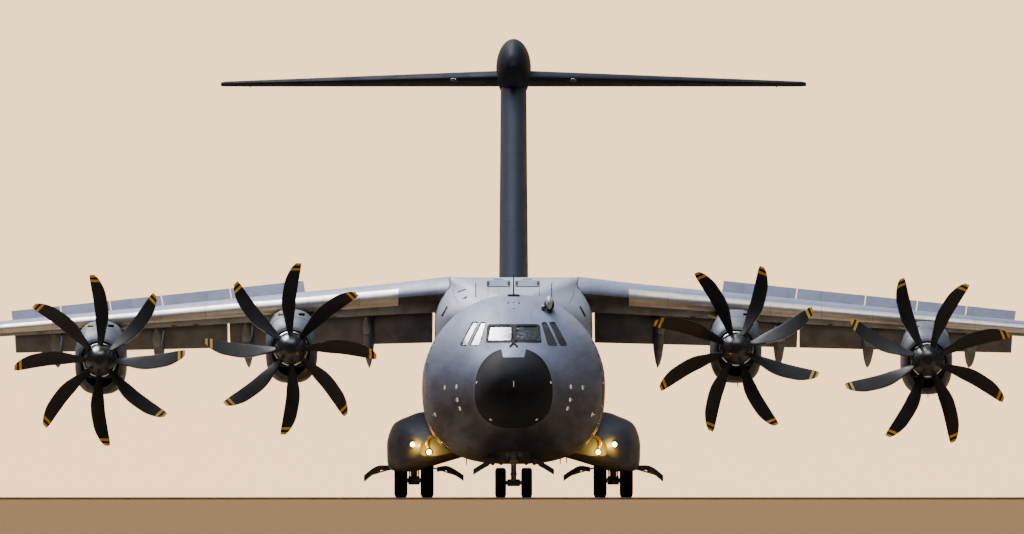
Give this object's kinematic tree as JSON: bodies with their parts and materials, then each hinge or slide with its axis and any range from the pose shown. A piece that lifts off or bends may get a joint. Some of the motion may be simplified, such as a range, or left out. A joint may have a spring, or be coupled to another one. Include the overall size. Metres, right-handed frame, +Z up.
{
  "type": "four-engined military transport aeroplane, scale model at 1:2",
  "caption": "High-wing turboprop transport aeroplane at half size with T tail, rear ramp, turning propellers, wheels, flaps, spoilers and rudder.",
  "frame": {"origin": "middle of the whole model seen from above, at the ground under the wheels", "axes": "+Z up, +Y from the nose to the tail, +X to the aircraft's left side"},
  "size_m": [21.2, 22.55, 7.37],
  "materials": {
    "skin_paint": "matt blue-grey paint on metal skin",
    "composite_paint": "matt blue-grey paint on carbon composite",
    "radome_paint": "satin black",
    "nacelle_paint": "matt blue-grey cowls around the engine",
    "blade_black": "black composite blades with yellow tips",
    "glazing": "clear laminated windscreen",
    "gear_paint": "grey painted steel, oily",
    "gear_steel": "polished oleo steel",
    "tyre_rubber": "worn black rubber",
    "deck_metal": "worn floor panels",
    "seat_cover": "dark cloth"
  },
  "bodies": {
    "airframe": {"radome": "radome_paint", "fuselage_nose": "skin_paint", "windscreen_glass": "glazing", "fuselage_forward": "skin_paint", "fuselage_centre": "skin_paint", "fuselage_aft": "skin_paint", "tailcone": "skin_paint", "cargo_floor": "deck_metal", "flight_deck": "deck_metal", "pilot_seat_left": "seat_cover", "pilot_seat_right": "seat_cover", "nose_gear_bay": "deck_metal", "wing_fairing": "composite_paint", "wing_left": "composite_paint", "wing_right": "composite_paint", "nacelle_left_outboard": "nacelle_paint", "nacelle_left_inboard": "nacelle_paint", "nacelle_right_inboard": "nacelle_paint", "nacelle_right_outboard": "nacelle_paint", "sponson_left": "composite_paint", "sponson_right": "composite_paint", "main_gear_door_outer_left": "composite_paint", "main_gear_door_inner_left": "composite_paint", "main_gear_door_outer_right": "composite_paint", "main_gear_door_inner_right": "composite_paint", "main_gear_legs_left": "gear_paint", "main_gear_legs_right": "gear_paint", "nose_leg": "gear_paint", "nose_gear_door_left": "composite_paint", "nose_gear_door_right": "composite_paint", "fin": "composite_paint", "tailplane": "composite_paint", "tail_bullet": "composite_paint"},
    "propeller_left_outboard": {"propeller_left_outboard": "blade_black"},
    "propeller_left_inboard": {"propeller_left_inboard": "blade_black"},
    "propeller_right_inboard": {"propeller_right_inboard": "blade_black"},
    "propeller_right_outboard": {"propeller_right_outboard": "blade_black"},
    "flap_inboard_left": {"flap_inboard_left": "composite_paint"},
    "flap_outboard_left": {"flap_outboard_left": "composite_paint"},
    "flap_inboard_right": {"flap_inboard_right": "composite_paint"},
    "flap_outboard_right": {"flap_outboard_right": "composite_paint"},
    "spoilers_left": {"spoilers_left": "composite_paint"},
    "spoilers_right": {"spoilers_right": "composite_paint"},
    "aileron_left": {"aileron_left": "composite_paint"},
    "aileron_right": {"aileron_right": "composite_paint"},
    "rudder": {"rudder": "composite_paint"},
    "elevator_left": {"elevator_left": "composite_paint"},
    "elevator_right": {"elevator_right": "composite_paint"},
    "cargo_ramp": {"cargo_ramp": "skin_paint"},
    "cargo_door": {"cargo_door": "skin_paint"},
    "crew_door": {"crew_door": "skin_paint"},
    "main_wheels_left_1": {"main_wheels_left_1": "tyre_rubber"},
    "main_wheels_left_2": {"main_wheels_left_2": "tyre_rubber"},
    "main_wheels_left_3": {"main_wheels_left_3": "tyre_rubber"},
    "main_wheels_right_1": {"main_wheels_right_1": "tyre_rubber"},
    "main_wheels_right_2": {"main_wheels_right_2": "tyre_rubber"},
    "main_wheels_right_3": {"main_wheels_right_3": "tyre_rubber"},
    "nose_steering": {"nose_steering": "gear_steel"},
    "nose_wheels": {"nose_wheels": "tyre_rubber"}
  },
  "joints": [
    {"name": "propeller_left_outboard_spin", "type": "hinge", "parent": "airframe", "child": "propeller_left_outboard", "pos_m": [6.425, -4.125, 2.135], "axis": [0, -1, 0], "continuous": true},
    {"name": "propeller_left_inboard_spin", "type": "hinge", "parent": "airframe", "child": "propeller_left_inboard", "pos_m": [3.45, -5.1, 2.3075], "axis": [0, 1, 0], "continuous": true},
    {"name": "propeller_right_inboard_spin", "type": "hinge", "parent": "airframe", "child": "propeller_right_inboard", "pos_m": [-3.45, -5.1, 2.3075], "axis": [0, -1, 0], "continuous": true},
    {"name": "propeller_right_outboard_spin", "type": "hinge", "parent": "airframe", "child": "propeller_right_outboard", "pos_m": [-6.425, -4.125, 2.135], "axis": [0, 1, 0], "continuous": true},
    {"name": "flap_inboard_left_hinge", "type": "hinge", "parent": "airframe", "child": "flap_inboard_left", "pos_m": [1.31, -1.42532, 2.5989], "axis": [0.9868, 0.1527, -0.0536], "range_deg": [0, 30]},
    {"name": "flap_outboard_left_hinge", "type": "hinge", "parent": "airframe", "child": "flap_outboard_left", "pos_m": [4.52, -0.92868, 2.42463], "axis": [0.9868, 0.1527, -0.0536], "range_deg": [0, 30]},
    {"name": "flap_inboard_right_hinge", "type": "hinge", "parent": "airframe", "child": "flap_inboard_right", "pos_m": [-1.31, -1.42532, 2.5989], "axis": [0.9868, -0.1527, 0.0536], "range_deg": [0, 30]},
    {"name": "flap_outboard_right_hinge", "type": "hinge", "parent": "airframe", "child": "flap_outboard_right", "pos_m": [-4.52, -0.92868, 2.42463], "axis": [0.9868, -0.1527, 0.0536], "range_deg": [0, 30]},
    {"name": "spoilers_left_hinge", "type": "hinge", "parent": "airframe", "child": "spoilers_left", "pos_m": [3.23, -1.36363, 3.08502], "axis": [0.9825, 0.1694, -0.0778], "range_deg": [-58, 0]},
    {"name": "spoilers_right_hinge", "type": "hinge", "parent": "airframe", "child": "spoilers_right", "pos_m": [-3.23, -1.36363, 3.08502], "axis": [0.9825, -0.1694, 0.0778], "range_deg": [-58, 0]},
    {"name": "aileron_left_hinge", "type": "hinge", "parent": "airframe", "child": "aileron_left", "pos_m": [7.9, -0.34463, 2.62789], "axis": [0.9873, 0.1458, -0.0633], "range_deg": [-20, 20]},
    {"name": "aileron_right_hinge", "type": "hinge", "parent": "airframe", "child": "aileron_right", "pos_m": [-7.9, -0.34463, 2.62789], "axis": [0.9873, -0.1458, 0.0633], "range_deg": [-20, 20]},
    {"name": "rudder_hinge", "type": "hinge", "parent": "airframe", "child": "rudder", "pos_m": [0, 7.51374, 3.225], "axis": [0, 0.5185, 0.8551], "range_deg": [-25, 25]},
    {"name": "elevator_left_hinge", "type": "hinge", "parent": "airframe", "child": "elevator_left", "pos_m": [0.45, 10.02119, 6.73381], "axis": [0.9755, 0.2194, -0.0134], "range_deg": [-15, 25]},
    {"name": "elevator_right_hinge", "type": "hinge", "parent": "airframe", "child": "elevator_right", "pos_m": [-0.45, 10.02119, 6.73381], "axis": [0.9755, -0.2194, 0.0134], "range_deg": [-15, 25]},
    {"name": "ramp_hinge", "type": "hinge", "parent": "airframe", "child": "cargo_ramp", "pos_m": [0, 1.65, 0.535], "axis": [1, 0, 0], "range_deg": [-25.5, 0]},
    {"name": "cargo_door_hinge", "type": "hinge", "parent": "airframe", "child": "cargo_door", "pos_m": [0, 7.075, 2.325], "axis": [1, 0, 0], "range_deg": [-24, 0]},
    {"name": "crew_door_hinge", "type": "hinge", "parent": "airframe", "child": "crew_door", "pos_m": [1.225, -7.6625, 0.95], "axis": [0, 1, 0], "range_deg": [0, 125]},
    {"name": "main_wheels_left_1_spin", "type": "hinge", "parent": "airframe", "child": "main_wheels_left_1", "pos_m": [1.555, -2.7, 0.2725], "axis": [1, 0, 0], "continuous": true},
    {"name": "main_wheels_left_2_spin", "type": "hinge", "parent": "airframe", "child": "main_wheels_left_2", "pos_m": [1.555, -1.925, 0.2725], "axis": [1, 0, 0], "continuous": true},
    {"name": "main_wheels_left_3_spin", "type": "hinge", "parent": "airframe", "child": "main_wheels_left_3", "pos_m": [1.555, -1.15, 0.2725], "axis": [1, 0, 0], "continuous": true},
    {"name": "main_wheels_right_1_spin", "type": "hinge", "parent": "airframe", "child": "main_wheels_right_1", "pos_m": [-1.555, -2.7, 0.2725], "axis": [1, 0, 0], "continuous": true},
    {"name": "main_wheels_right_2_spin", "type": "hinge", "parent": "airframe", "child": "main_wheels_right_2", "pos_m": [-1.555, -1.925, 0.2725], "axis": [1, 0, 0], "continuous": true},
    {"name": "main_wheels_right_3_spin", "type": "hinge", "parent": "airframe", "child": "main_wheels_right_3", "pos_m": [-1.555, -1.15, 0.2725], "axis": [1, 0, 0], "continuous": true},
    {"name": "nose_steering_turn", "type": "hinge", "parent": "airframe", "child": "nose_steering", "pos_m": [0, -8.735, 0.2325], "axis": [0, 0, 1], "range_deg": [-70, 70]},
    {"name": "nose_wheels_spin", "type": "hinge", "parent": "nose_steering", "child": "nose_wheels", "pos_m": [0, -8.735, 0.2325], "axis": [1, 0, 0], "continuous": true}
  ],
  "couplings": [
    {"joint": "flap_outboard_left_hinge", "follows": "flap_inboard_left_hinge", "ratio": 1},
    {"joint": "flap_inboard_right_hinge", "follows": "flap_inboard_left_hinge", "ratio": 1},
    {"joint": "flap_outboard_right_hinge", "follows": "flap_inboard_left_hinge", "ratio": 1},
    {"joint": "aileron_right_hinge", "follows": "aileron_left_hinge", "ratio": -1},
    {"joint": "elevator_right_hinge", "follows": "elevator_left_hinge", "ratio": 1}
  ]
}
